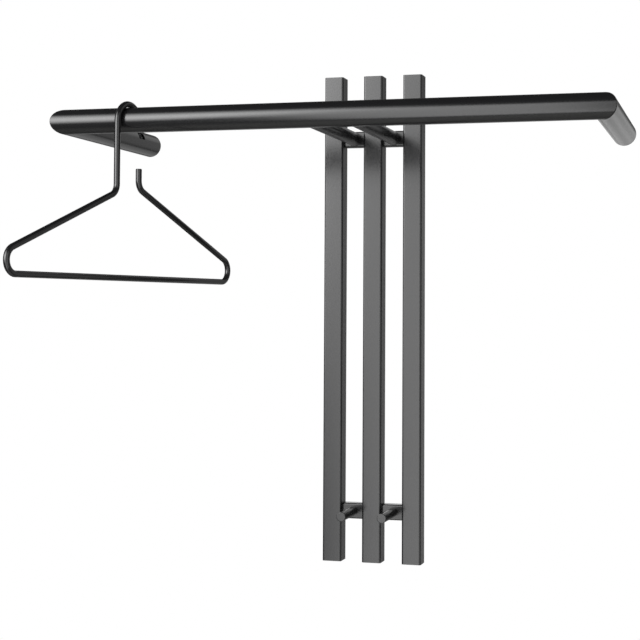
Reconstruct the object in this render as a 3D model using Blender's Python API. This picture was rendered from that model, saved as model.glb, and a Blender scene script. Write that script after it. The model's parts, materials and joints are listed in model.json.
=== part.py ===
"""Wall coat rack in powder-coated steel.

Three square uprights stand against the wall, joined by short cross bars. Two round arms carry a round rail
in front of them, the rail's mitred returns run back to spigots on the wall, two pegs stand out lower down,
and a bent wire hanger slides on the rail.
"""
import math

import bmesh
import bpy
from mathutils import Vector

# Driving dimensions in metres: X along the rail, Y into the wall, Z up.
# The wall is the plane Y = 0 and the origin is the middle of the middle upright's back.
UPRIGHT_WIDTH = 0.025
UPRIGHT_DEPTH = 0.025
UPRIGHT_HEIGHT = 0.630
UPRIGHT_WALL = 0.0015
UPRIGHT_CORNER_RADIUS = 0.0025
UPRIGHT_GAP = 0.0275
END_PLATE_THICKNESS = 0.003

CROSS_BAR_HEIGHT = 0.020
CROSS_BAR_DEPTH = 0.017
CROSS_BAR_WALL = 0.002
CROSS_BAR_CORNER_RADIUS = 0.002
LOWER_BAR_ABOVE_FOOT = 0.0645

RAIL_DIAMETER = 0.030
RAIL_WALL = 0.0015
RAIL_WIDTH = 0.670
RAIL_REACH = 0.270
RAIL_BELOW_TOP = 0.0815

ARM_DIAMETER = 0.018
ARM_WALL = 0.0015

PEG_DIAMETER = 0.012
PEG_LENGTH = 0.061
PEG_EDGE = 0.0008

BOLT_DIAMETER = 0.006
BOLT_HEAD_DIAMETER = 0.010
BOLT_HEAD_HEIGHT = 0.005
BOLT_SOCKET = 0.005
BOLT_SOCKET_DEPTH = 0.003
BOLT_ENGAGEMENT = 0.014
BOLT_POINT = 0.0008
THREAD_RUNOUT = 0.004
HEAD_ACCESS = 0.001

SPIGOT_BASE = 0.006
SPIGOT_WALL = 0.007
SPIGOT_PAST_SLOT = 0.010
WALL_SCREW_HOLE = 0.006

CLAMP_SCREW_DIAMETER = 0.008
CLAMP_SOCKET = 0.004
CLAMP_SOCKET_DEPTH = 0.003
CLAMP_RECESS = 0.001
CLAMP_SLOT_PLAY = 0.00075
CLAMP_SLOT_LENGTH = 0.020
CLAMP_SLOT_CORNER = 0.0015
CLAMP_POCKET_DEPTH = 0.0035
CLAMP_FROM_WALL = 0.066
CLAMP_ANGLE = math.radians(26)

WIRE_DIAMETER = 0.0074
HANGER_FRONT = 0.2225
HANGER_BACK = 0.2305
HANGER_YAW = math.radians(12.5)
HANGER_FROM_RETURN = 0.081
HANGER_BAR_BELOW_RAIL = 0.1878
NECK_BEND_BELOW_RAIL = 0.087
FREE_END_BEND_BELOW_RAIL = 0.0795
FREE_END_HEIGHT = 0.0235
HOOK_PLAY = 0.0035
HANGER_CORNER_RADIUS = 0.015
HANGER_BEND_RADIUS = 0.014

# Seam left between pieces that are welded, screwed or resting together.
SEAM = 0.0003

# Facets round a full turn, and steps in a rounded corner.
RAIL_FACETS = 48
ARM_FACETS = 36
SMALL_FACETS = 24
CORNER_STEPS = 4
WIRE_BEVEL_RESOLUTION = 4
ARC_STEP = math.radians(9)

# Places worked out from the driving dimensions.
TOP = UPRIGHT_HEIGHT / 2
RAIL_RADIUS = RAIL_DIAMETER / 2
RAIL_HEIGHT = TOP - RAIL_BELOW_TOP
RETURN_X = RAIL_WIDTH / 2 - RAIL_RADIUS
UPRIGHT_SPACING = UPRIGHT_WIDTH + UPRIGHT_GAP
LOWER_BAR_HEIGHT = LOWER_BAR_ABOVE_FOOT - TOP
BOLT_HOLE_RADIUS = BOLT_DIAMETER / 2 + SEAM
WIRE_RADIUS = WIRE_DIAMETER / 2

# Turns that lay a shape made along +Z forwards from the wall, or along the rail.
FORWARDS = (math.pi / 2, 0, 0)
ALONG_RAIL = (0, math.pi / 2, 0)

POWDER_COAT = ((0.030, 0.030, 0.031), 0.42, 0.0)
BLACK_OXIDE = ((0.020, 0.020, 0.021), 0.35, 0.8)
ZINC_PLATE = ((0.52, 0.53, 0.55), 0.30, 1.0)


def principled(name, finish):
    """A Principled material with a finish's colour, roughness and metallic value."""
    colour, roughness, metallic = finish
    material = bpy.data.materials.new(name)
    material.use_nodes = True
    shader = material.node_tree.nodes["Principled BSDF"]
    shader.inputs["Base Color"].default_value = (*colour, 1)
    shader.inputs["Roughness"].default_value = roughness
    shader.inputs["Metallic"].default_value = metallic
    return material


def circle(radius, height, facets):
    """A ring of points round +Z at one height."""
    turns = [2 * math.pi * step / facets for step in range(facets)]
    return [Vector((radius * math.cos(turn), radius * math.sin(turn), height)) for turn in turns]


def hexagon(across_flats, height, facets):
    """A hexagonal ring with as many points as a circle, so that the two can be joined."""
    ring = []
    for point in circle(1, height, facets):
        turn = math.atan2(point.y, point.x)
        from_flat = (turn + math.pi / 6) % (math.pi / 3) - math.pi / 6
        radius = across_flats / 2 / math.cos(from_flat)
        ring.append(Vector((radius * point.x, radius * point.y, height)))
    return ring


def rounded_rectangle(width, depth, corner_radius, height):
    """A rectangular ring with rounded corners, width along X and depth along Y."""
    ring = []
    for quarter in range(4):
        centre_x = (width / 2 - corner_radius) * (1 if quarter in (0, 3) else -1)
        centre_y = (depth / 2 - corner_radius) * (1 if quarter in (0, 1) else -1)
        for step in range(CORNER_STEPS + 1):
            turn = math.pi / 2 * (quarter + step / CORNER_STEPS)
            x = centre_x + corner_radius * math.cos(turn)
            y = centre_y + corner_radius * math.sin(turn)
            ring.append(Vector((x, y, height)))
    return ring


def skin(name, rings, hollow=False):
    """A closed mesh through rings of points: its ends are filled, or joined to each other if it is hollow."""
    mesh = bpy.data.meshes.new(name)
    work = bmesh.new()
    loops = [[work.verts.new(point) for point in ring] for ring in rings]
    pairs = list(zip(loops, loops[1:]))
    if hollow:
        pairs.append((loops[-1], loops[0]))
    else:
        work.faces.new(loops[0])
        work.faces.new(loops[-1])
    for first, second in pairs:
        for index in range(len(first)):
            after = (index + 1) % len(first)
            work.faces.new((first[index], first[after], second[after], second[index]))
    bmesh.ops.recalc_face_normals(work, faces=work.faces)
    work.to_mesh(mesh)
    work.free()
    mesh.shade_smooth()
    mesh.set_sharp_from_angle(angle=math.radians(30))
    return mesh


def place(name, data, finish, location=(0, 0, 0), turn=(0, 0, 0)):
    """A named piece with its own material, at its place."""
    piece = bpy.data.objects.new(name, data)
    data.materials.append(principled(name + "_finish", finish))
    piece.location = location
    piece.rotation_euler = turn
    bpy.context.collection.objects.link(piece)
    return piece


def cut(piece, name, mesh, location=(0, 0, 0), turn=(0, 0, 0)):
    """Take a cutter's shape out of a piece."""
    cutter = bpy.data.objects.new(name, mesh)
    cutter.location = location
    cutter.rotation_euler = turn
    cutter.hide_render = True
    cutter.display_type = "WIRE"
    bpy.context.collection.objects.link(cutter)
    boolean = piece.modifiers.new(name, "BOOLEAN")
    boolean.operation = "DIFFERENCE"
    boolean.solver = "EXACT"
    boolean.object = cutter


def upright(name, x):
    """A square tube standing on end against the wall, with a plate set into each of its mouths."""
    outer = (UPRIGHT_WIDTH, UPRIGHT_DEPTH, UPRIGHT_CORNER_RADIUS)
    inner_radius = max(UPRIGHT_CORNER_RADIUS - UPRIGHT_WALL, UPRIGHT_WALL / 4)
    inner = (UPRIGHT_WIDTH - 2 * UPRIGHT_WALL, UPRIGHT_DEPTH - 2 * UPRIGHT_WALL, inner_radius)
    tube = skin(name, [
        rounded_rectangle(*outer, -TOP),
        rounded_rectangle(*outer, TOP),
        rounded_rectangle(*inner, TOP),
        rounded_rectangle(*inner, -TOP),
    ], hollow=True)
    place(name, tube, POWDER_COAT, (x, -UPRIGHT_DEPTH / 2, 0))
    plate = (inner[0] - 2 * SEAM, inner[1] - 2 * SEAM, inner_radius)
    for end, low in (("top", TOP - END_PLATE_THICKNESS), ("bottom", -TOP)):
        plate_name = name + "_" + end + "_plate"
        rings = [rounded_rectangle(*plate, low), rounded_rectangle(*plate, low + END_PLATE_THICKNESS)]
        place(plate_name, skin(plate_name, rings), POWDER_COAT, (x, -UPRIGHT_DEPTH / 2, 0))


def cross_bar(name, x, z):
    """A short flat tube between two uprights, holed for a bolt in front and for its head behind."""
    half = UPRIGHT_GAP / 2 - SEAM
    outer = (CROSS_BAR_HEIGHT, CROSS_BAR_DEPTH, CROSS_BAR_CORNER_RADIUS)
    inner_radius = max(CROSS_BAR_CORNER_RADIUS - CROSS_BAR_WALL, CROSS_BAR_WALL / 4)
    inner = (CROSS_BAR_HEIGHT - 2 * CROSS_BAR_WALL, CROSS_BAR_DEPTH - 2 * CROSS_BAR_WALL, inner_radius)
    tube = skin(name, [
        rounded_rectangle(*outer, -half),
        rounded_rectangle(*outer, half),
        rounded_rectangle(*inner, half),
        rounded_rectangle(*inner, -half),
    ], hollow=True)
    bar = place(name, tube, POWDER_COAT, (x, -CROSS_BAR_DEPTH / 2, z), ALONG_RAIL)
    head_hole = BOLT_HEAD_DIAMETER / 2 + HEAD_ACCESS
    middle = CROSS_BAR_DEPTH / 2
    cutter = skin(name + "_bolt_way", [
        circle(head_hole, -CROSS_BAR_WALL, SMALL_FACETS),
        circle(head_hole, middle, SMALL_FACETS),
        circle(BOLT_HOLE_RADIUS, middle, SMALL_FACETS),
        circle(BOLT_HOLE_RADIUS, CROSS_BAR_DEPTH + CROSS_BAR_WALL, SMALL_FACETS),
    ])
    cut(bar, name + "_bolt_way", cutter, (x, 0, z), FORWARDS)


def bolt(name, x, z):
    """A socket-head bolt inside a cross bar, seated on its front wall and pointing forwards."""
    seat = SEAM - (CROSS_BAR_DEPTH - CROSS_BAR_WALL)
    length = CROSS_BAR_WALL + 2 * SEAM + BOLT_ENGAGEMENT
    shank = BOLT_DIAMETER / 2
    head = BOLT_HEAD_DIAMETER / 2
    mesh = skin(name, [
        hexagon(BOLT_SOCKET, BOLT_SOCKET_DEPTH - BOLT_HEAD_HEIGHT, SMALL_FACETS),
        hexagon(BOLT_SOCKET, -BOLT_HEAD_HEIGHT, SMALL_FACETS),
        circle(head, -BOLT_HEAD_HEIGHT, SMALL_FACETS),
        circle(head, 0, SMALL_FACETS),
        circle(shank, 0, SMALL_FACETS),
        circle(shank, length - BOLT_POINT, SMALL_FACETS),
        circle(shank - BOLT_POINT, length, SMALL_FACETS),
    ])
    place(name, mesh, ZINC_PLATE, (x, seat, z), FORWARDS)


def support_arm(name, x):
    """A round tube from an upper cross bar to the rail, saddle-cut to sit on the rail."""
    root = -(CROSS_BAR_DEPTH + SEAM)
    length = RAIL_REACH + root
    bore = ARM_DIAMETER / 2 - ARM_WALL
    tube = skin(name, [
        circle(ARM_DIAMETER / 2, 0, ARM_FACETS),
        circle(ARM_DIAMETER / 2, length, ARM_FACETS),
        circle(bore, length, ARM_FACETS),
        circle(bore, 0, ARM_FACETS),
    ], hollow=True)
    arm = place(name, tube, POWDER_COAT, (x, root, RAIL_HEIGHT), FORWARDS)
    saddle = skin(name + "_saddle", [
        circle(RAIL_RADIUS + SEAM, -ARM_DIAMETER, RAIL_FACETS),
        circle(RAIL_RADIUS + SEAM, ARM_DIAMETER, RAIL_FACETS),
    ])
    cut(arm, name + "_saddle", saddle, (x, -RAIL_REACH, RAIL_HEIGHT), ALONG_RAIL)
    plug_length = BOLT_ENGAGEMENT + THREAD_RUNOUT
    plug = skin(name + "_plug", [
        circle(bore - SEAM, 0, ARM_FACETS),
        circle(bore - SEAM, plug_length, ARM_FACETS),
        circle(BOLT_HOLE_RADIUS, plug_length, ARM_FACETS),
        circle(BOLT_HOLE_RADIUS, 0, ARM_FACETS),
    ], hollow=True)
    place(name + "_plug", plug, ZINC_PLATE, (x, root, RAIL_HEIGHT), FORWARDS)


def coat_peg(name, x):
    """A round steel peg, bored at its root for its bolt, with a broken edge at its tip."""
    radius = PEG_DIAMETER / 2
    thread_depth = BOLT_ENGAGEMENT + THREAD_RUNOUT
    mesh = skin(name, [
        circle(BOLT_HOLE_RADIUS, thread_depth, SMALL_FACETS),
        circle(BOLT_HOLE_RADIUS, 0, SMALL_FACETS),
        circle(radius, 0, SMALL_FACETS),
        circle(radius, PEG_LENGTH - PEG_EDGE, SMALL_FACETS),
        circle(radius - PEG_EDGE, PEG_LENGTH, SMALL_FACETS),
    ])
    place(name, mesh, POWDER_COAT, (x, -(CROSS_BAR_DEPTH + SEAM), LOWER_BAR_HEIGHT), FORWARDS)


def rail_tube():
    """The long round rail, cut to a mitre at both ends."""
    seam = SEAM / math.sqrt(2)
    rings = []
    for radius, order in ((RAIL_RADIUS, (-1, 1)), (RAIL_RADIUS - RAIL_WALL, (1, -1))):
        for side in order:
            ring = []
            for point in circle(radius, 0, RAIL_FACETS):
                end = side * (RETURN_X - point.x - seam)
                ring.append(Vector((end, point.x, point.y)))
            rings.append(ring)
    place("rail_tube", skin("rail_tube", rings, hollow=True), POWDER_COAT, (0, -RAIL_REACH, RAIL_HEIGHT))


def rail_return(name, side):
    """A round tube from a rail end back to the wall, mitred in front and slotted inside for its clamp screw."""
    seam = SEAM / math.sqrt(2)
    rings = []
    for radius, order in ((RAIL_RADIUS, ("mitre", "wall")), (RAIL_RADIUS - RAIL_WALL, ("wall", "mitre"))):
        for end in order:
            ring = []
            for point in circle(radius, 0, RAIL_FACETS):
                mitre = seam - RAIL_REACH - side * point.x
                ring.append(Vector((point.x, 0 if end == "wall" else mitre, point.y)))
            rings.append(ring)
    tube = place(name, skin(name, rings, hollow=True), POWDER_COAT, (side * RETURN_X, 0, RAIL_HEIGHT))
    cutter = clamp_slot(name + "_slot", RAIL_RADIUS / 2)
    cut(tube, name + "_slot", cutter, *clamp_place(side))


def clamp_slot(name, start):
    """The shape that cuts a return's slot, from a height over the return's axis out through its skin."""
    width = CLAMP_SCREW_DIAMETER + 2 * CLAMP_SLOT_PLAY
    return skin(name, [
        rounded_rectangle(width, CLAMP_SLOT_LENGTH, CLAMP_SLOT_CORNER, start),
        rounded_rectangle(width, CLAMP_SLOT_LENGTH, CLAMP_SLOT_CORNER, RAIL_RADIUS + RAIL_WALL),
    ])


def clamp_place(side):
    """Where a return's clamp screw lies: on the return's axis, pointing inwards and up."""
    location = (side * RETURN_X, -CLAMP_FROM_WALL, RAIL_HEIGHT)
    return location, (0, -side * (math.pi / 2 - CLAMP_ANGLE), 0)


def wall_spigot(name, side):
    """A turned cup inside a return's wall end, screwed to the wall, with a pocket in its side for the clamp screw."""
    outer = RAIL_RADIUS - RAIL_WALL - SEAM
    length = CLAMP_FROM_WALL + CLAMP_SLOT_LENGTH / 2 + SPIGOT_PAST_SLOT
    hole = WALL_SCREW_HOLE / 2
    mesh = skin(name, [
        circle(hole, 0, ARM_FACETS),
        circle(outer, 0, ARM_FACETS),
        circle(outer, length, ARM_FACETS),
        circle(outer - SPIGOT_WALL, length, ARM_FACETS),
        circle(outer - SPIGOT_WALL, SPIGOT_BASE, ARM_FACETS),
        circle(hole, SPIGOT_BASE, ARM_FACETS),
    ], hollow=True)
    spigot = place(name, mesh, BLACK_OXIDE, (side * RETURN_X, 0, RAIL_HEIGHT), FORWARDS)
    pocket = clamp_slot(name + "_pocket", outer - CLAMP_POCKET_DEPTH)
    cut(spigot, name + "_pocket", pocket, *clamp_place(side))
    cutter = skin(name + "_clamp_hole", [
        circle(CLAMP_SCREW_DIAMETER / 2 + SEAM, (outer - SPIGOT_WALL) / 2, SMALL_FACETS),
        circle(CLAMP_SCREW_DIAMETER / 2 + SEAM, RAIL_RADIUS, SMALL_FACETS),
    ])
    cut(spigot, name + "_clamp_hole", cutter, *clamp_place(side))


def clamp_screw(name, side):
    """A socket screw through a spigot's side, sunk a little into the return's slot."""
    radius = CLAMP_SCREW_DIAMETER / 2
    inner_end = RAIL_RADIUS - RAIL_WALL - SEAM - SPIGOT_WALL
    outer_end = RAIL_RADIUS - CLAMP_RECESS
    mesh = skin(name, [
        circle(radius, inner_end, SMALL_FACETS),
        circle(radius, outer_end, SMALL_FACETS),
        hexagon(CLAMP_SOCKET, outer_end, SMALL_FACETS),
        hexagon(CLAMP_SOCKET, outer_end - CLAMP_SOCKET_DEPTH, SMALL_FACETS),
    ])
    place(name, mesh, BLACK_OXIDE, *clamp_place(side))


def arc(centre, radius, start, sweep):
    """Points along an arc in the hanger's own plane, from one angle through a sweep."""
    steps = max(2, math.ceil(abs(sweep) / ARC_STEP))
    turns = [start + sweep * step / steps for step in range(steps + 1)]
    return [(centre[0] + radius * math.cos(turn), centre[1] + radius * math.sin(turn)) for turn in turns]


def hanger_side(side, reach, bend_height):
    """One side of the hanger: a bend from upright to shoulder, then the corner down to the bottom bar."""
    bar_height = -HANGER_BAR_BELOW_RAIL
    hook_radius = RAIL_RADIUS + HOOK_PLAY + WIRE_RADIUS
    corner = (reach - WIRE_RADIUS - HANGER_CORNER_RADIUS, bar_height + HANGER_CORNER_RADIUS)
    run = corner[0] - hook_radius
    drop = bend_height - corner[1]
    slope = math.atan2(drop, run) - math.asin(HANGER_CORNER_RADIUS / math.hypot(run, drop))
    half_bend = (math.pi / 2 - slope) / 2
    bend_centre = (hook_radius + HANGER_BEND_RADIUS, bend_height + HANGER_BEND_RADIUS * math.tan(half_bend))
    bend = arc(bend_centre, HANGER_BEND_RADIUS, math.pi, 2 * half_bend)
    turn = arc(corner, HANGER_CORNER_RADIUS, math.pi / 2 - slope, slope - math.pi)
    return [(side * across, height) for across, height in bend + turn]


def hanger_path():
    """The wire's centre line across and up its own plane, from the hook's tip to the free end."""
    hook_radius = RAIL_RADIUS + HOOK_PLAY + WIRE_RADIUS
    hook_height = RAIL_RADIUS + SEAM + WIRE_RADIUS - hook_radius
    free_end = (hook_radius, FREE_END_HEIGHT - FREE_END_BEND_BELOW_RAIL)
    path = arc((0, hook_height), hook_radius, 0, math.pi)
    path += hanger_side(-1, HANGER_FRONT, -NECK_BEND_BELOW_RAIL)
    path += reversed(hanger_side(1, HANGER_BACK, -FREE_END_BEND_BELOW_RAIL))
    path.append(free_end)
    return path


def coat_hanger():
    """One bent wire on the rail: hook, neck, shoulder, bottom bar, shoulder and a free end beside the neck."""
    slide = bpy.data.objects.new("hanger_slide", None)
    slide.location = (HANGER_FROM_RETURN - RETURN_X, -RAIL_REACH, RAIL_HEIGHT)
    slide.rotation_euler = (0, 0, -HANGER_YAW)
    bpy.context.collection.objects.link(slide)
    path = hanger_path()
    wire = bpy.data.curves.new("coat_hanger", "CURVE")
    wire.dimensions = "3D"
    wire.bevel_depth = WIRE_RADIUS
    wire.bevel_resolution = WIRE_BEVEL_RESOLUTION
    wire.use_fill_caps = True
    spline = wire.splines.new("POLY")
    spline.points.add(len(path) - 1)
    for point, (across, height) in zip(spline.points, path):
        point.co = (0, across, height, 1)
    hanger = place("coat_hanger", wire, POWDER_COAT)
    hanger.parent = slide


def build():
    """The whole rack, in the order it goes together."""
    for leftover in list(bpy.data.objects):
        bpy.data.objects.remove(leftover)
    for side, word in ((-1, "left"), (0, "middle"), (1, "right")):
        upright("upright_" + word, side * UPRIGHT_SPACING)
    for side, word in ((-1, "left"), (1, "right")):
        gap_middle = side * UPRIGHT_SPACING / 2
        cross_bar("upper_cross_bar_" + word, gap_middle, RAIL_HEIGHT)
        cross_bar("lower_cross_bar_" + word, gap_middle, LOWER_BAR_HEIGHT)
        support_arm("support_arm_" + word, gap_middle)
        bolt("arm_bolt_" + word, gap_middle, RAIL_HEIGHT)
        coat_peg("coat_peg_" + word, gap_middle)
        bolt("peg_bolt_" + word, gap_middle, LOWER_BAR_HEIGHT)
        rail_return("rail_return_" + word, side)
        wall_spigot("wall_spigot_" + word, side)
        clamp_screw("clamp_screw_" + word, side)
    rail_tube()
    coat_hanger()


build()
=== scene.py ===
import json
import math

import bmesh
import bpy
from mathutils import Matrix, Vector

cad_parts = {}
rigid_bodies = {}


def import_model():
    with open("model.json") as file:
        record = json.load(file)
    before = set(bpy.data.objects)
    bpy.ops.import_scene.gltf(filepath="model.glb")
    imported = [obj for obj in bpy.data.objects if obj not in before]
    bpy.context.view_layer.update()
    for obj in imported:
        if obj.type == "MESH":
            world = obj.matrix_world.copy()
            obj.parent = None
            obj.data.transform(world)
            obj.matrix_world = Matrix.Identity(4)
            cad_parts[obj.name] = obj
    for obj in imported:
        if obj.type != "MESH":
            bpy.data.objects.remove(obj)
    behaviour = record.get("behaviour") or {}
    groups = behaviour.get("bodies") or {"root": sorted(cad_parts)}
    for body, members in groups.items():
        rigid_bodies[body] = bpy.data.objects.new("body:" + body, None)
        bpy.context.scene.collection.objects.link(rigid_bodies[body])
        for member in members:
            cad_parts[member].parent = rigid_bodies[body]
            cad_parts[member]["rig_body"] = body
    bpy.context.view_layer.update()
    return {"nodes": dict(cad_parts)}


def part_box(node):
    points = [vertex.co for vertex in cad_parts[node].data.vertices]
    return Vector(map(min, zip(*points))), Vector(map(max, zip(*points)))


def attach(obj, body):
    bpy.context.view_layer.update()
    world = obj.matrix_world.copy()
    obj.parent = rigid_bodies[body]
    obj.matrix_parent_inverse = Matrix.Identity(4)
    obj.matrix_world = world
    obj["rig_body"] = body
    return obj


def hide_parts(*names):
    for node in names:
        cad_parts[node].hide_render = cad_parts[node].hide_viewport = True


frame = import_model()

# Uprights
# Three lengths of 25 mm square steel tube stand against the wall, sawn square at both ends.
# They are welded to the cross bars, and the whole rack is powder-coated satin black after welding.
UPRIGHT_CORNER_RADIUS = 0.0025
UPRIGHT_WALL = 0.0015
SAWN_EDGE = 0.0003
CORNER_SEGMENTS = 8
COAT_SHADE_DARK = "#141415"
COAT_SHADE_LIGHT = "#181819"
COAT_CLOUD_SIZE = 0.060
ORANGE_PEEL_SIZE = 0.0022
ORANGE_PEEL_DEPTH = 0.000014
POWDER_GRAIN_SIZE = 0.0007
POWDER_GRAIN_DEPTH = 0.000003
COAT_ROUGHNESS = (0.17, 0.21)
COAT_IOR = 1.6
NOISE_LOW, NOISE_HIGH = 0.3, 0.7
SQUARE_ON = 0.99
SMOOTH_UNDER = math.radians(35)


def linear(hex_colour):
    """A colour written in sRGB hex, as the linear colour that shader sockets take."""
    channels = [int(hex_colour[start:start + 2], 16) / 255 for start in (1, 3, 5)]
    return [c / 12.92 if c <= 0.04045 else ((c + 0.055) / 1.055) ** 2.4 for c in channels] + [1]


def add_node(tree, kind, settings, links):
    """Add a shader node, set its properties and input values, and link its inputs."""
    node = tree.nodes.new(kind)
    for name, value in settings.items():
        if name in node.inputs:
            node.inputs[name].default_value = value
        else:
            setattr(node, name, value)
    for name, source in links.items():
        tree.links.new(source, node.inputs[name])
    return node


def noise(tree, place, size, detail):
    """Add a noise whose blotches are about as large as a length in metres."""
    settings = {"Scale": 1 / size, "Detail": detail}
    return add_node(tree, "ShaderNodeTexNoise", settings, {"Vector": place}).outputs["Fac"]


def blended(tree, share, dark, light):
    """Blend two sRGB hex colours by a share from 0 to 1."""
    blend = add_node(tree, "ShaderNodeMix", {"data_type": "RGBA"}, {"Factor": share})
    blend.inputs["A"].default_value = linear(dark)
    blend.inputs["B"].default_value = linear(light)
    return blend.outputs["Result"]


def uneven(tree, share, least, most):
    """Turn a noise, nearly all of which lies between low and high, into a roughness between two values."""
    settings = {"From Min": NOISE_LOW, "From Max": NOISE_HIGH, "To Min": least, "To Max": most}
    return add_node(tree, "ShaderNodeMapRange", settings, {"Value": share}).outputs["Result"]


def powder_coat():
    """Powder coat: polyester powder melted on steel to an even satin skin.

    It flows out to a faint orange peel with a fine grain, so highlights are broad and soft at the edge.
    The grain is drawn coarser than the real tenth of a millimetre, so that it shows.
    """
    material = bpy.data.materials.new("powder_coat_satin_black")
    material.use_nodes = True
    tree = material.node_tree
    tree.nodes.clear()
    place = add_node(tree, "ShaderNodeTexCoord", {}, {}).outputs["Object"]
    clouds = noise(tree, place, COAT_CLOUD_SIZE, detail=2)
    peel = noise(tree, place, ORANGE_PEEL_SIZE, detail=1)
    grain = noise(tree, place, POWDER_GRAIN_SIZE, detail=0)
    shade = blended(tree, clouds, COAT_SHADE_DARK, COAT_SHADE_LIGHT)
    roughness = uneven(tree, peel, *COAT_ROUGHNESS)
    waves = add_node(tree, "ShaderNodeBump", {"Distance": ORANGE_PEEL_DEPTH}, {"Height": peel})
    surface = add_node(
        tree, "ShaderNodeBump", {"Distance": POWDER_GRAIN_DEPTH},
        {"Height": grain, "Normal": waves.outputs["Normal"]})
    coat = add_node(
        tree, "ShaderNodeBsdfPrincipled", {"IOR": COAT_IOR, "Metallic": 0},
        {"Base Color": shade, "Roughness": roughness, "Normal": surface.outputs["Normal"]})
    add_node(tree, "ShaderNodeOutputMaterial", {}, {"Surface": coat.outputs["BSDF"]})
    return material


def only(piece):
    """Make one piece the only one that operators act on."""
    bpy.ops.object.select_all(action="DESELECT")
    piece.select_set(True)
    bpy.context.view_layer.objects.active = piece


def edit_faces(piece, wanted):
    """Go into edit mode with the faces selected whose middle and normal pass a test."""
    only(piece)
    bpy.ops.object.mode_set(mode="EDIT")
    bpy.ops.mesh.select_mode(type="FACE")
    bpy.ops.mesh.select_all(action="DESELECT")
    mesh = bmesh.from_edit_mesh(piece.data)
    for face in mesh.faces:
        if wanted(face.calc_center_median(), face.normal):
            face.select_set(True)
    bmesh.update_edit_mesh(piece.data)


def edit_edges(piece, wanted):
    """Go into edit mode with the edges selected whose two ends pass a test."""
    only(piece)
    bpy.ops.object.mode_set(mode="EDIT")
    bpy.ops.mesh.select_mode(type="EDGE")
    bpy.ops.mesh.select_all(action="DESELECT")
    mesh = bmesh.from_edit_mesh(piece.data)
    for edge in mesh.edges:
        if wanted(edge.verts[0].co, edge.verts[1].co):
            edge.select_set(True)
    bmesh.update_edit_mesh(piece.data)


def leave_edit():
    """Go back to object mode."""
    bpy.ops.object.mode_set(mode="OBJECT")


def apply_modifier(piece, kind, settings):
    """Add a modifier with its settings and apply it."""
    only(piece)
    modifier = piece.modifiers.new(kind.lower(), kind)
    for name, value in settings.items():
        setattr(modifier, name, value)
    bpy.ops.object.modifier_apply(modifier=modifier.name)


def add_block(low, high):
    """Add a square block between two corners."""
    bpy.ops.mesh.primitive_cube_add(size=1, location=(low + high) / 2, scale=high - low)
    bpy.ops.object.transform_apply(location=True, rotation=True, scale=True)
    return bpy.context.active_object


def complete(piece, node, finish):
    """Name a piece after the CAD node it stands for, smooth it, and give it its finish and its body."""
    only(piece)
    piece.name = node + "_finished"
    piece.data.name = piece.name
    piece.data.materials.clear()
    piece.data.materials.append(finish)
    bpy.ops.object.shade_smooth_by_angle(angle=SMOOTH_UNDER)
    apply_modifier(piece, "WEIGHTED_NORMAL", {"keep_sharp": True})
    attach(piece, frame["nodes"][node]["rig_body"])
    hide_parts(node)


def copied(piece, move):
    """A copy of a piece with a mesh of its own, moved or mirrored by a matrix."""
    twin = piece.copy()
    twin.data = piece.data.copy()
    twin.data.transform(move)
    if move.determinant() < 0:
        twin.data.flip_normals()
    bpy.context.collection.objects.link(twin)
    return twin


satin_black = powder_coat()
MIRROR = Matrix.Diagonal((-1, 1, 1, 1))
left_low, left_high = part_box("upright_left")
plate_low, plate_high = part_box("upright_left_top_plate")
upright = add_block(left_low, left_high)
edit_edges(upright, lambda a, b: abs(a.z - b.z) > UPRIGHT_WALL)
bpy.ops.mesh.bevel(offset=UPRIGHT_CORNER_RADIUS, segments=CORNER_SEGMENTS, affect="EDGES")
leave_edit()
edit_edges(upright, lambda a, b: abs(a.z - b.z) < SAWN_EDGE)
bpy.ops.mesh.bevel(offset=SAWN_EDGE, segments=2, affect="EDGES")
leave_edit()
edit_faces(upright, lambda middle, normal: abs(normal.z) > SQUARE_ON)
bpy.ops.mesh.inset(thickness=UPRIGHT_WALL - SAWN_EDGE)
plate_depth = plate_high.z - plate_low.z + SAWN_EDGE
bpy.ops.mesh.extrude_region_shrink_fatten(TRANSFORM_OT_shrink_fatten={"value": -plate_depth})
leave_edit()
to_middle = Matrix.Translation((-(left_low.x + left_high.x) / 2, 0, 0))
upright_middle = copied(upright, to_middle)
upright_right = copied(upright, MIRROR)
complete(upright, "upright_left", satin_black)
complete(upright_middle, "upright_middle", satin_black)
complete(upright_right, "upright_right", satin_black)

# End plates
# Six 3 mm steel plates close the uprights' ends, set in flush and welded.
# The CAD solids have their shape, so they stay and take the coat.
for node, solid in frame["nodes"].items():
    if node.endswith("_plate"):
        solid.data.materials.clear()
        solid.data.materials.append(satin_black)

# Cross bars
# Four short lengths of 20 x 17 mm steel tube join the uprights, set back from their fronts and welded.
# A hole in the back of each lets a key reach the head of the bolt that holds an arm or a peg.
BAR_CORNER_RADIUS = 0.002
BAR_WALL = 0.002
HEAD_HOLE_RADIUS = 0.006
BOLT_HOLE_RADIUS = 0.0033
HOLE_SEGMENTS = 48


def round_bar(start, end, radius, segments, ends="NGON"):
    """Add a round bar between two points, or an open round skin where its ends are NOTHING."""
    axis = Vector(end) - Vector(start)
    bpy.ops.mesh.primitive_cylinder_add(
        vertices=segments, radius=radius, depth=axis.length, end_fill_type=ends,
        location=(Vector(start) + Vector(end)) / 2, rotation=axis.to_track_quat("Z", "Y").to_euler())
    bpy.ops.object.transform_apply(location=True, rotation=True, scale=True)
    return bpy.context.active_object


def cut_away(piece, cutter):
    """Take a cutter's shape out of a piece."""
    apply_modifier(piece, "BOOLEAN", {"operation": "DIFFERENCE", "solver": "EXACT", "object": cutter})
    bpy.data.objects.remove(cutter)


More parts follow.
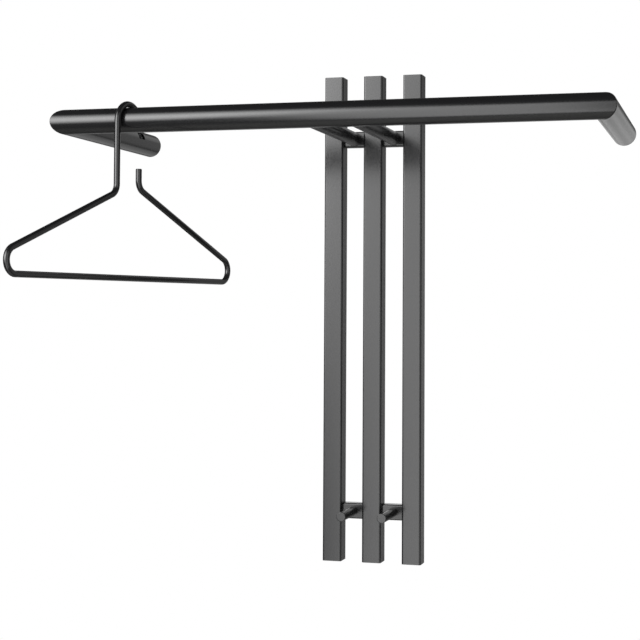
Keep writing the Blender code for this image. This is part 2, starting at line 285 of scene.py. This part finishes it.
for node in ("upper_cross_bar_left", "lower_cross_bar_left"):
    bar_low, bar_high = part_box(node)
    bar_middle = (bar_low + bar_high) / 2
    bar = add_block(bar_low, bar_high)
    edit_edges(bar, lambda a, b: abs(a.x - b.x) > BAR_WALL)
    bpy.ops.mesh.bevel(offset=BAR_CORNER_RADIUS, segments=CORNER_SEGMENTS, affect="EDGES")
    leave_edit()
    edit_faces(bar, lambda middle, normal: abs(normal.x) > SQUARE_ON)
    bpy.ops.mesh.delete(type="FACE")
    leave_edit()
    apply_modifier(bar, "SOLIDIFY", {"thickness": BAR_WALL, "offset": -1})
    behind = Vector((bar_middle.x, bar_high.y + BAR_WALL, bar_middle.z))
    in_front = Vector((bar_middle.x, bar_low.y - BAR_WALL, bar_middle.z))
    cut_away(bar, round_bar(behind, bar_middle, HEAD_HOLE_RADIUS, HOLE_SEGMENTS))
    cut_away(bar, round_bar(bar_middle, in_front, BOLT_HOLE_RADIUS, HOLE_SEGMENTS))
    twin = copied(bar, MIRROR)
    complete(bar, node, satin_black)
    complete(twin, node.replace("left", "right"), satin_black)

# Support arms
# Two 18 mm round steel tubes run from the upper cross bars to the rail, saddle-cut to sit on it and welded.
# Each is held at its root by a bolt from inside the cross bar.
ARM_WALL = 0.0015
ARM_SEGMENTS = 64
SADDLE_SEGMENTS = 128
SEAM = 0.0003
arm_low, arm_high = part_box("support_arm_left")
rail_low, rail_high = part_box("rail_tube")
rail_radius = (rail_high.z - rail_low.z) / 2
rail_y = (rail_low.y + rail_high.y) / 2
rail_z = (rail_low.z + rail_high.z) / 2
arm_x = (arm_low.x + arm_high.x) / 2
arm_radius = (arm_high.x - arm_low.x) / 2
arm = round_bar((arm_x, arm_high.y, rail_z), (arm_x, rail_y, rail_z), arm_radius, ARM_SEGMENTS, "NOTHING")
apply_modifier(arm, "SOLIDIFY", {"thickness": ARM_WALL, "offset": -1})
saddle_half = Vector((2 * arm_radius, 0, 0))
saddle_middle = Vector((arm_x, rail_y, rail_z))
saddle = round_bar(
    saddle_middle - saddle_half, saddle_middle + saddle_half, rail_radius + SEAM, SADDLE_SEGMENTS)
cut_away(arm, saddle)
arm_twin = copied(arm, MIRROR)
complete(arm, "support_arm_left", satin_black)
complete(arm_twin, "support_arm_right", satin_black)

# Coat pegs
# Two 12 mm round steel rods stand out from the lower cross bars, turned flat at the tip with a broken edge.
# Each is bored and tapped at its root for its bolt.
PEG_EDGE = 0.0008
PEG_SEGMENTS = 48
PEG_BORE_DEPTH = 0.018
peg_low, peg_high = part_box("coat_peg_left")
peg_middle = (peg_low + peg_high) / 2
peg_radius = (peg_high.x - peg_low.x) / 2
peg_root = Vector((peg_middle.x, peg_high.y, peg_middle.z))
peg_tip = Vector((peg_middle.x, peg_low.y, peg_middle.z))
peg = round_bar(peg_root, peg_tip, peg_radius, PEG_SEGMENTS)
edit_edges(peg, lambda a, b: max(a.y, b.y) < peg_low.y + PEG_EDGE)
bpy.ops.mesh.bevel(offset=PEG_EDGE, segments=4, affect="EDGES")
leave_edit()
edit_faces(peg, lambda middle, normal: normal.y > SQUARE_ON)
bpy.ops.mesh.inset(thickness=peg_radius - BOLT_HOLE_RADIUS)
bpy.ops.mesh.extrude_region_move(TRANSFORM_OT_translate={"value": (0, -PEG_BORE_DEPTH, 0)})
leave_edit()
peg_twin = copied(peg, MIRROR)
complete(peg, "coat_peg_left", satin_black)
complete(peg_twin, "coat_peg_right", satin_black)

# Bolts and plugs
# Four M6 socket-head bolts inside the cross bars hold the arms and pegs, with a plug in each arm's root.
# They are bright zinc-plated steel, and only the bolts' heads show, through the holes at the back.
BOLT_RADIUS = 0.003
BOLT_HEAD_RADIUS = 0.005
BOLT_HEAD_HEIGHT = 0.005
BOLT_SOCKET_WIDTH = 0.005
BOLT_SOCKET_DEPTH = 0.003
BOLT_EDGE = 0.0004
KEY_SIDES = 6
ZINC_SHADE_DARK = "#b0b4ba"
ZINC_SHADE_LIGHT = "#ccd0d4"
ZINC_CLOUD_SIZE = 0.004
ZINC_ROUGHNESS = (0.24, 0.36)


def zinc_plate():
    """Bright zinc: a thin bluish electroplated skin on steel, clouded by its passivation."""
    material = bpy.data.materials.new("zinc_plate_bright")
    material.use_nodes = True
    tree = material.node_tree
    tree.nodes.clear()
    place = add_node(tree, "ShaderNodeTexCoord", {}, {}).outputs["Object"]
    clouds = noise(tree, place, ZINC_CLOUD_SIZE, detail=3)
    shade = blended(tree, clouds, ZINC_SHADE_DARK, ZINC_SHADE_LIGHT)
    roughness = uneven(tree, clouds, *ZINC_ROUGHNESS)
    skin = add_node(
        tree, "ShaderNodeBsdfPrincipled", {"Metallic": 1}, {"Base Color": shade, "Roughness": roughness})
    add_node(tree, "ShaderNodeOutputMaterial", {}, {"Surface": skin.outputs["BSDF"]})
    return material


bright_zinc = zinc_plate()
for node in ("arm_bolt_left", "peg_bolt_left"):
    bolt_low, bolt_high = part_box(node)
    bolt_middle = (bolt_low + bolt_high) / 2
    head_top = Vector((bolt_middle.x, bolt_high.y, bolt_middle.z))
    seat = head_top - Vector((0, BOLT_HEAD_HEIGHT, 0))
    bolt = round_bar(head_top, seat, BOLT_HEAD_RADIUS, HOLE_SEGMENTS)
    edit_edges(bolt, lambda a, b: min(a.y, b.y) > bolt_high.y - BOLT_EDGE)
    bpy.ops.mesh.bevel(offset=BOLT_EDGE, segments=3, affect="EDGES")
    leave_edit()
    edit_faces(bolt, lambda middle, normal: normal.y < -SQUARE_ON)
    bpy.ops.mesh.inset(thickness=BOLT_HEAD_RADIUS - BOLT_RADIUS)
    bpy.ops.mesh.extrude_region_move(TRANSFORM_OT_translate={"value": (0, bolt_low.y - seat.y, 0)})
    leave_edit()
    edit_edges(bolt, lambda a, b: max(a.y, b.y) < bolt_low.y + BOLT_EDGE)
    bpy.ops.mesh.bevel(offset=2 * BOLT_EDGE, segments=1, affect="EDGES")
    leave_edit()
    socket_floor = head_top - Vector((0, BOLT_SOCKET_DEPTH, 0))
    socket_mouth = head_top + Vector((0, BOLT_SOCKET_DEPTH, 0))
    cut_away(bolt, round_bar(socket_mouth, socket_floor, BOLT_SOCKET_WIDTH / math.sqrt(3), KEY_SIDES))
    twin = copied(bolt, MIRROR)
    complete(bolt, node, bright_zinc)
    complete(twin, node.replace("left", "right"), bright_zinc)
for node, solid in frame["nodes"].items():
    if node.endswith("_plug"):
        solid.data.materials.clear()
        solid.data.materials.append(bright_zinc)

# Rail
# One 30 mm round steel tube runs across the front, cut to a mitre at both ends.
# The mitre's edges are eased before welding, so the joint shows as a fine rounded line.
RAIL_WALL = 0.0015
RAIL_SEGMENTS = 128
MITRE_EDGE = 0.0007
MERGE_WITHIN = 0.0001
return_low, return_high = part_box("rail_return_left")
return_x = (return_low.x + return_high.x) / 2
corner = Vector((return_x, rail_y, rail_z))
mitre_normal = Vector((-1, 1, 0)).normalized()


def mitre(tube, keep):
    """Cut a tube at the left mitre, on the side that keep points to, and ease its outer edge."""
    plane = corner + keep * SEAM / 2
    only(tube)
    bpy.ops.object.mode_set(mode="EDIT")
    bpy.ops.mesh.select_all(action="SELECT")
    bpy.ops.mesh.bisect(plane_co=plane, plane_no=-keep, use_fill=True, clear_outer=True)
    leave_edit()

    def on_outer_edge(point):
        across = point - corner
        round_the_rail = math.hypot(across.y, across.z)
        round_the_return = math.hypot(across.x, across.z)
        on_skin = min(abs(round_the_rail - rail_radius), abs(round_the_return - rail_radius)) < SEAM
        return on_skin and abs((point - plane).dot(keep)) < SEAM / 4

    edit_edges(tube, lambda a, b: on_outer_edge(a) and on_outer_edge(b))
    bpy.ops.mesh.bevel(offset=MITRE_EDGE, segments=4, affect="EDGES")
    leave_edit()


rail_middle = Vector((0, rail_y, rail_z))
rail_start = Vector((rail_low.x - RAIL_WALL, rail_y, rail_z))
half_rail = round_bar(rail_start, rail_middle, rail_radius, RAIL_SEGMENTS, "NOTHING")
apply_modifier(half_rail, "SOLIDIFY", {"thickness": RAIL_WALL, "offset": -1})
mitre(half_rail, -mitre_normal)
edit_faces(half_rail, lambda middle, normal: middle.x > -SEAM and normal.x > SQUARE_ON)
bpy.ops.mesh.delete(type="FACE")
leave_edit()
apply_modifier(half_rail, "MIRROR", {"merge_threshold": MERGE_WITHIN})
complete(half_rail, "rail_tube", satin_black)

# Returns
# Two tubes of the same 30 mm stock run from the rail's mitred ends back to the wall.
# A slot in the inner side of each lets a key reach the clamp screw that locks it on its wall spigot.
CLAMP_FROM_WALL = 0.066
CLAMP_ANGLE = math.radians(26)
SLOT_LENGTH = 0.020
SLOT_WIDTH = 0.0095
SLOT_CORNER = 0.0015
clamp_axis = Vector((math.cos(CLAMP_ANGLE), 0, math.sin(CLAMP_ANGLE)))
clamp_centre = Vector((return_x, -CLAMP_FROM_WALL, rail_z))
return_wall_end = Vector((return_x, return_high.y, rail_z))
return_tube = round_bar(
    return_wall_end, (return_x, return_low.y - RAIL_WALL, rail_z), rail_radius, RAIL_SEGMENTS, "NOTHING")
apply_modifier(return_tube, "SOLIDIFY", {"thickness": RAIL_WALL, "offset": -1})
mitre(return_tube, mitre_normal)
edit_edges(return_tube, lambda a, b: min(a.y, b.y) > -SAWN_EDGE)
bpy.ops.mesh.bevel(offset=SAWN_EDGE, segments=2, affect="EDGES")
leave_edit()


def slot_block(start):
    """Add a block in the slot's shape, from a height over the return's axis out through its skin."""
    depth = rail_radius + RAIL_WALL - start
    bpy.ops.mesh.primitive_cube_add(
        size=1, location=clamp_centre + clamp_axis * (start + depth / 2),
        rotation=(0, math.pi / 2 - CLAMP_ANGLE, 0), scale=(SLOT_WIDTH, SLOT_LENGTH, depth))
    bpy.ops.object.transform_apply(location=True, rotation=True, scale=True)
    block = bpy.context.active_object
    edit_edges(block, lambda a, b: abs((a - b).dot(clamp_axis)) > depth - SEAM)
    bpy.ops.mesh.bevel(offset=SLOT_CORNER, segments=CORNER_SEGMENTS, affect="EDGES")
    leave_edit()
    return block


cut_away(return_tube, slot_block(rail_radius / 2))
return_twin = copied(return_tube, MIRROR)
complete(return_tube, "rail_return_left", satin_black)
complete(return_twin, "rail_return_right", satin_black)

# Wall spigots
# A turned steel cup in each return's wall end, blacked and oiled, is screwed to the wall through its base.
# A pocket milled in its side lies under the return's slot, and is tapped for the clamp screw.
SPIGOT_WALL = 0.007
SPIGOT_BASE = 0.006
POCKET_DEPTH = 0.0035
WALL_SCREW_HOLE_RADIUS = 0.003
CLAMP_SCREW_RADIUS = 0.004
SPIGOT_SEGMENTS = 96
OXIDE_SHADE_DARK = "#17181a"
OXIDE_SHADE_LIGHT = "#2a2b2d"
OXIDE_MOTTLE_SIZE = 0.0012
OXIDE_ROUGHNESS = (0.3, 0.45)


def black_oxide():
    """Black oxide: steel blackened in a hot bath and oiled, dark and mottled, with a metal's sheen."""
    material = bpy.data.materials.new("black_oxide_steel")
    material.use_nodes = True
    tree = material.node_tree
    tree.nodes.clear()
    place = add_node(tree, "ShaderNodeTexCoord", {}, {}).outputs["Object"]
    mottle = noise(tree, place, OXIDE_MOTTLE_SIZE, detail=2)
    shade = blended(tree, mottle, OXIDE_SHADE_DARK, OXIDE_SHADE_LIGHT)
    roughness = uneven(tree, mottle, *OXIDE_ROUGHNESS)
    steel = add_node(
        tree, "ShaderNodeBsdfPrincipled", {"Metallic": 1}, {"Base Color": shade, "Roughness": roughness})
    add_node(tree, "ShaderNodeOutputMaterial", {}, {"Surface": steel.outputs["BSDF"]})
    return material


oxide_steel = black_oxide()
spigot_low, spigot_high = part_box("wall_spigot_left")
spigot_radius = (spigot_high.x - spigot_low.x) / 2
spigot_mouth = Vector((return_x, spigot_low.y, rail_z))
spigot = round_bar(return_wall_end, spigot_mouth, spigot_radius, SPIGOT_SEGMENTS)
edit_faces(spigot, lambda middle, normal: normal.y < -SQUARE_ON)
bpy.ops.mesh.inset(thickness=SPIGOT_WALL)
spigot_depth = return_wall_end.y - spigot_low.y - SPIGOT_BASE
bpy.ops.mesh.extrude_region_move(TRANSFORM_OT_translate={"value": (0, spigot_depth, 0)})
leave_edit()
base_behind = return_wall_end + Vector((0, SPIGOT_BASE, 0))
base_in_front = return_wall_end - Vector((0, 2 * SPIGOT_BASE, 0))
cut_away(spigot, round_bar(base_behind, base_in_front, WALL_SCREW_HOLE_RADIUS, HOLE_SEGMENTS))
cut_away(spigot, slot_block(spigot_radius - POCKET_DEPTH))
tap_start = clamp_centre + clamp_axis * (spigot_radius - SPIGOT_WALL) / 2
tap_end = clamp_centre + clamp_axis * rail_radius
cut_away(spigot, round_bar(tap_start, tap_end, CLAMP_SCREW_RADIUS + SEAM, HOLE_SEGMENTS))
spigot_twin = copied(spigot, MIRROR)
complete(spigot, "wall_spigot_left", oxide_steel)
complete(spigot_twin, "wall_spigot_right", oxide_steel)

# Clamp screws
# One M8 socket set screw in each spigot's pocket, blacked like it, holds the return by its slot.
# Its face sits a millimetre below the return's skin.
CLAMP_RECESS = 0.001
CLAMP_SOCKET_WIDTH = 0.004
CLAMP_SOCKET_DEPTH = 0.003
screw_face = clamp_centre + clamp_axis * (rail_radius - CLAMP_RECESS)
screw_foot = clamp_centre + clamp_axis * (spigot_radius - SPIGOT_WALL)
screw = round_bar(screw_face, screw_foot, CLAMP_SCREW_RADIUS, HOLE_SEGMENTS)
edit_edges(
    screw, lambda a, b: min((a - screw_face).dot(clamp_axis), (b - screw_face).dot(clamp_axis)) > -SEAM)
bpy.ops.mesh.bevel(offset=BOLT_EDGE, segments=2, affect="EDGES")
leave_edit()
key_floor = screw_face - clamp_axis * CLAMP_SOCKET_DEPTH
key_mouth = screw_face + clamp_axis * CLAMP_SOCKET_DEPTH
cut_away(screw, round_bar(key_mouth, key_floor, CLAMP_SOCKET_WIDTH / math.sqrt(3), KEY_SIDES))
screw_twin = copied(screw, MIRROR)
complete(screw, "clamp_screw_left", oxide_steel)
complete(screw_twin, "clamp_screw_right", oxide_steel)

# Coat hanger
# One 7.4 mm steel wire, bent to a hook, a neck, two shoulders and a bottom bar, and coated like the rack.
# It hangs on the rail by its hook, turned a little, and its free end stands beside the neck.
WIRE_RADIUS = 0.0037
HANGER_FRONT = 0.2224
HANGER_BACK = 0.2305
HANGER_YAW = math.radians(12.5)
HANGER_FROM_RETURN = 0.081
BAR_BELOW_RAIL = 0.1878
NECK_BEND_BELOW_RAIL = 0.087
FREE_END_BEND_BELOW_RAIL = 0.0795
FREE_END_HEIGHT = 0.0235
HOOK_PLAY = 0.0035
HANGER_CORNER_RADIUS = 0.015
HANGER_BEND_RADIUS = 0.014
WIRE_EDGE = 0.0009
WIRE_SEGMENTS = 32
BEND_STEP = math.radians(5)
hook_radius = rail_radius + HOOK_PLAY + WIRE_RADIUS
hook_rise = rail_radius + SEAM + WIRE_RADIUS - hook_radius
across = Vector((math.sin(HANGER_YAW), math.cos(HANGER_YAW), 0))
up = Vector((0, 0, 1))
hanger_centre = Vector((return_x + HANGER_FROM_RETURN, rail_y, rail_z))


def shoulder_corner(reach, bend_below_rail):
    """How far out a shoulder's line would meet the bottom bar's, if the corner between them were sharp."""
    run = reach - WIRE_RADIUS - HANGER_CORNER_RADIUS - hook_radius
    drop = BAR_BELOW_RAIL - bend_below_rail - HANGER_CORNER_RADIUS
    slope = math.atan2(drop, run) - math.asin(HANGER_CORNER_RADIUS / math.hypot(run, drop))
    return hook_radius + (BAR_BELOW_RAIL - bend_below_rail) / math.tan(slope)


def bend_round(centre, turn):
    """Bend the wire's end on round a point; spin counts a turn the other way round its axis."""
    steps = max(2, math.ceil(abs(turn) / BEND_STEP))
    bpy.ops.mesh.spin(steps=steps, angle=-turn, center=centre, axis=across.cross(up))


def in_plane(out, height):
    """A point of the hanger's own plane, by its way out from the rail's middle and its height over it."""
    return hanger_centre + across * out + up * height


front_corner = shoulder_corner(HANGER_FRONT, NECK_BEND_BELOW_RAIL)
back_corner = shoulder_corner(HANGER_BACK, FREE_END_BEND_BELOW_RAIL)
bends = [
    (in_plane(-hook_radius, -NECK_BEND_BELOW_RAIL), HANGER_BEND_RADIUS),
    (in_plane(-front_corner, -BAR_BELOW_RAIL), HANGER_CORNER_RADIUS),
    (in_plane(back_corner, -BAR_BELOW_RAIL), HANGER_CORNER_RADIUS),
    (in_plane(hook_radius, -FREE_END_BEND_BELOW_RAIL), HANGER_BEND_RADIUS),
]
free_end = in_plane(hook_radius, FREE_END_HEIGHT - FREE_END_BEND_BELOW_RAIL)
bpy.ops.object.select_all(action="DESELECT")
bpy.ops.mesh.primitive_circle_add(
    vertices=WIRE_SEGMENTS, radius=WIRE_RADIUS, location=in_plane(hook_radius, hook_rise))
bpy.ops.object.transform_apply(location=True, rotation=True, scale=True)
wire = bpy.context.active_object
bpy.ops.object.mode_set(mode="EDIT")
bpy.ops.mesh.select_all(action="SELECT")
bend_round(in_plane(0, hook_rise), math.pi)
at = in_plane(-hook_radius, hook_rise)
for (point, radius), (after, _) in zip(bends, bends[1:] + [(free_end, 0)]):
    heading = (point - at).normalized()
    leaving = (after - point).normalized()
    turn = math.atan2(heading.cross(leaving).dot(across.cross(up)), heading.dot(leaving))
    before_bend = point - heading * radius * math.tan(abs(turn) / 2)
    bpy.ops.mesh.extrude_region_move(TRANSFORM_OT_translate={"value": before_bend - at})
    inward = across.cross(up).cross(heading) * math.copysign(radius, turn)
    bend_round(before_bend + inward, turn)
    at = point + leaving * radius * math.tan(abs(turn) / 2)
bpy.ops.mesh.extrude_region_move(TRANSFORM_OT_translate={"value": free_end - at})
leave_edit()
edit_edges(wire, lambda a, b: abs(a.z - free_end.z) < SEAM and abs(b.z - free_end.z) < SEAM)
bpy.ops.mesh.edge_face_add()
bpy.ops.mesh.bevel(offset=WIRE_EDGE, segments=4, affect="EDGES")
leave_edit()
tip_z = in_plane(0, hook_rise).z
hook_tip = in_plane(hook_radius, hook_rise)
edit_edges(wire, lambda a, b: max((a - hook_tip).length, (b - hook_tip).length) < WIRE_RADIUS + SEAM
           and max(abs(a.z - tip_z), abs(b.z - tip_z)) < SEAM)
bpy.ops.mesh.edge_face_add()
bpy.ops.mesh.bevel(offset=WIRE_EDGE, segments=4, affect="EDGES")
bpy.ops.mesh.select_all(action="SELECT")
bpy.ops.mesh.normals_make_consistent(inside=False)
leave_edit()
complete(wire, "coat_hanger", satin_black)

# Floor
# A plain pale painted floor lies well below the rack, as under one that hangs on a wall.
# It fades out with distance, so that no edge shows behind the rack.
FLOOR_BELOW = 2.2
FLOOR_RADIUS = 2.6
FLOOR_FADE_FROM = 0.8
FLOOR_SEGMENTS = 96
FLOOR_SHADE_DARK = "#d6d6d3"
FLOOR_SHADE_LIGHT = "#dededb"
FLOOR_CLOUD_SIZE = 0.4


def floor_paint():
    """Matt floor paint: rolled on, almost even, with faint clouds where the roller overlapped."""
    material = bpy.data.materials.new("matt_floor_paint")
    material.use_nodes = True
    tree = material.node_tree
    tree.nodes.clear()
    place = add_node(tree, "ShaderNodeTexCoord", {}, {}).outputs["Object"]
    clouds = noise(tree, place, FLOOR_CLOUD_SIZE, detail=2)
    shade = blended(tree, clouds, FLOOR_SHADE_DARK, FLOOR_SHADE_LIGHT)
    paint = add_node(tree, "ShaderNodeBsdfDiffuse", {}, {"Color": shade})
    distance = add_node(tree, "ShaderNodeVectorMath", {"operation": "LENGTH"}, {"Vector": place})
    far = add_node(
        tree, "ShaderNodeMapRange",
        {"interpolation_type": "SMOOTHSTEP", "From Min": FLOOR_FADE_FROM, "From Max": FLOOR_RADIUS},
        {"Value": distance.outputs["Value"]})
    away = add_node(tree, "ShaderNodeBsdfTransparent", {}, {})
    faded = add_node(tree, "ShaderNodeMixShader", {}, {"Fac": far.outputs["Result"]})
    tree.links.new(paint.outputs["BSDF"], faded.inputs[1])
    tree.links.new(away.outputs["BSDF"], faded.inputs[2])
    add_node(tree, "ShaderNodeOutputMaterial", {}, {"Surface": faded.outputs["Shader"]})
    return material


bpy.ops.object.select_all(action="DESELECT")
bpy.ops.mesh.primitive_circle_add(
    vertices=FLOOR_SEGMENTS, radius=FLOOR_RADIUS, fill_type="NGON", location=(0, 0, -FLOOR_BELOW))
floor = bpy.context.active_object
floor.name = "floor"
floor.data.materials.append(floor_paint())

# Camera
# It stands to the right of the rack, level with its middle, and looks left and a little up.
# Its frame is shifted down, so that the lens's axis lies above the picture's middle.
CAMERA_PLACE = (0.4726, -1.9523, 0.0059)
CAMERA_YAW = math.radians(15.737)
CAMERA_PITCH = math.radians(2.432)
CAMERA_ROLL = math.radians(0.332)
SENSOR_WIDTH = 36
FOCAL_LENGTH = 86.05
FRAME_SIDE = 640
AXIS_ABOVE_MIDDLE = 72
camera_data = bpy.data.cameras.new("camera")
camera_data.sensor_width = SENSOR_WIDTH
camera_data.lens = FOCAL_LENGTH
camera_data.shift_y = -AXIS_ABOVE_MIDDLE / FRAME_SIDE
camera = bpy.data.objects.new("camera", camera_data)
camera.location = CAMERA_PLACE
camera.rotation_mode = "QUATERNION"
aim = Matrix.Rotation(CAMERA_YAW, 3, "Z") @ Matrix.Rotation(math.pi / 2 + CAMERA_PITCH, 3, "X")
camera.rotation_quaternion = (aim @ Matrix.Rotation(CAMERA_ROLL, 3, "Z")).to_quaternion()
bpy.context.collection.objects.link(camera)
bpy.context.scene.camera = camera

# Studio light
# A key softbox on the left, a tall scrim in front and a broad fill on the right, none of them in the picture.
# The room is a dim grey with lighter parts behind the rack, for the coat to mirror. The camera sees white.
RACK_MIDDLE = Vector((0, -0.15, 0.05))
ROOM_GREY = 0.12
ROOM_GREY_OVERHEAD = 0.04
ROOM_DIMS_FROM = math.radians(20)
ROOM_DIM_FROM = math.radians(50)
BACKDROP_WHITE = 1
BACKDROP_EDGE_GREY = 0.72
SIDE_WALL_GREY = 0.38
SIDE_WALL_TOP_GREY = 0.5
FLOOR_BEHIND_GREY = 0.5


def calculate(tree, operation, first, second=0):
    """Add a math node, each of its inputs a number or another node's output."""
    node = add_node(tree, "ShaderNodeMath", {"operation": operation}, {})
    for socket, value in zip(node.inputs, (first, second)):
        if isinstance(value, bpy.types.NodeSocket):
            tree.links.new(value, socket)
        else:
            socket.default_value = value
    return node.outputs["Value"]


def fade(tree, value, start, end, first, last):
    """Go smoothly from one number to another while a value goes from start to end."""
    settings = {"From Min": start, "From Max": end, "To Min": first, "To Max": last}
    settings["interpolation_type"] = "SMOOTHSTEP"
    return add_node(tree, "ShaderNodeMapRange", settings, {"Value": value}).outputs["Result"]


def softbox(name, beside, raised, edges, distance, radiance):
    """A flat lamp that faces the rack and fills a range of degrees beside its front and a range of them up.

    Like real cloth it is brightest in the middle: it fades over so many degrees at its sides and at its ends.
    """
    turn = math.radians(sum(beside) / 2)
    lift = math.radians(sum(raised) / 2)
    direction = Vector((math.sin(turn) * math.cos(lift), -math.cos(turn) * math.cos(lift), math.sin(lift)))
    lamp_data = bpy.data.lights.new(name, "AREA")
    lamp_data.shape = "RECTANGLE"
    lamp_data.size = 2 * distance * math.tan(math.radians(beside[1] - beside[0]) / 2) * math.cos(lift)
    lamp_data.size_y = 2 * distance * math.tan(math.radians(raised[1] - raised[0]) / 2)
    lamp_data.energy = math.pi * lamp_data.size * lamp_data.size_y * radiance
    lamp_data.use_nodes = True
    cloth = lamp_data.node_tree
    on_cloth = add_node(cloth, "ShaderNodeNewGeometry", {}, {}).outputs["Parametric"]
    places = add_node(cloth, "ShaderNodeSeparateXYZ", {}, {"Vector": on_cloth})
    half = 0.5
    parts = []
    for axis, edge, (low, high) in (("X", edges[0], beside), ("Y", edges[1], raised)):
        off = calculate(cloth, "ABSOLUTE", calculate(cloth, "SUBTRACT", places.outputs[axis], half))
        parts.append(fade(cloth, off, half - edge / (high - low), half, 1, 0))
    cloth.links.new(calculate(cloth, "MULTIPLY", *parts), cloth.nodes["Emission"].inputs["Strength"])
    lamp = bpy.data.objects.new(name, lamp_data)
    lamp.location = RACK_MIDDLE + direction * distance
    lamp.rotation_mode = "QUATERNION"
    lamp.rotation_quaternion = direction.to_track_quat("Z", "Y")
    lamp.visible_camera = False
    bpy.context.collection.objects.link(lamp)


softbox("key_softbox", beside=(-62, -12.5), raised=(-18, 54), edges=(11, 36), distance=2.5, radiance=7.6)
softbox("front_scrim", beside=(-22, 9), raised=(-58, 40), edges=(8, 20), distance=1.8, radiance=2.75)
softbox("right_fill", beside=(20, 67), raised=(-44, 44), edges=(16, 20), distance=2.2, radiance=1.4)

world = bpy.data.worlds.new("studio")
bpy.context.scene.world = world
world.use_nodes = True
sky = world.node_tree
way = add_node(sky, "ShaderNodeTexCoord", {}, {}).outputs["Generated"]
split = add_node(sky, "ShaderNodeSeparateXYZ", {}, {"Vector": way})
bearing = calculate(sky, "ARCTAN2", split.outputs["X"], split.outputs["Y"])
slant = calculate(sky, "ARCSINE", split.outputs["Z"])


def patch(beside, raised, edge, brightness):
    """A soft-edged part of the room behind the rack, in degrees right of straight back and degrees up."""
    parts = []
    for angle, (low, high) in ((bearing, beside), (slant, raised)):
        middle, half = math.radians(low + high) / 2, math.radians(high - low) / 2
        off = calculate(sky, "ABSOLUTE", calculate(sky, "SUBTRACT", angle, middle))
        parts.append(fade(sky, off, half, half + math.radians(edge), 1, 0))
    return calculate(sky, "MULTIPLY", calculate(sky, "MULTIPLY", *parts), brightness)


room = fade(sky, slant, ROOM_DIMS_FROM, ROOM_DIM_FROM, ROOM_GREY, ROOM_GREY_OVERHEAD)
side_wall = patch(beside=(19, 85), raised=(-30, 38), edge=7, brightness=SIDE_WALL_GREY)
side_wall_top = patch(beside=(2, 19), raised=(16, 38), edge=8, brightness=SIDE_WALL_TOP_GREY)
floor_behind = patch(beside=(-26, 9), raised=(-34, -22), edge=6, brightness=FLOOR_BEHIND_GREY)
floor_behind_left = patch(beside=(-26, -11), raised=(-22, -15), edge=3, brightness=FLOOR_BEHIND_GREY)
backdrop_edge = patch(beside=(-6.5, 7.5), raised=(-8, 4), edge=5, brightness=BACKDROP_EDGE_GREY)
backdrop = patch(beside=(-28.2, -3.6), raised=(0.5, 12), edge=1.5, brightness=BACKDROP_WHITE)
ray = add_node(sky, "ShaderNodeLightPath", {}, {}).outputs
straight = calculate(sky, "MAXIMUM", ray["Is Camera Ray"], ray["Is Transmission Ray"])
mirrored = calculate(sky, "MULTIPLY", backdrop, ray["Is Glossy Ray"])
brightness = calculate(sky, "MULTIPLY", straight, BACKDROP_WHITE)
for part in (room, side_wall, side_wall_top, floor_behind, floor_behind_left, backdrop_edge, mirrored):
    brightness = calculate(sky, "MAXIMUM", brightness, part)
sky.nodes["Background"].inputs["Color"].default_value = linear("#ffffff")
sky.links.new(brightness, sky.nodes["Background"].inputs["Strength"])
bpy.context.scene.view_settings.view_transform = "Standard"
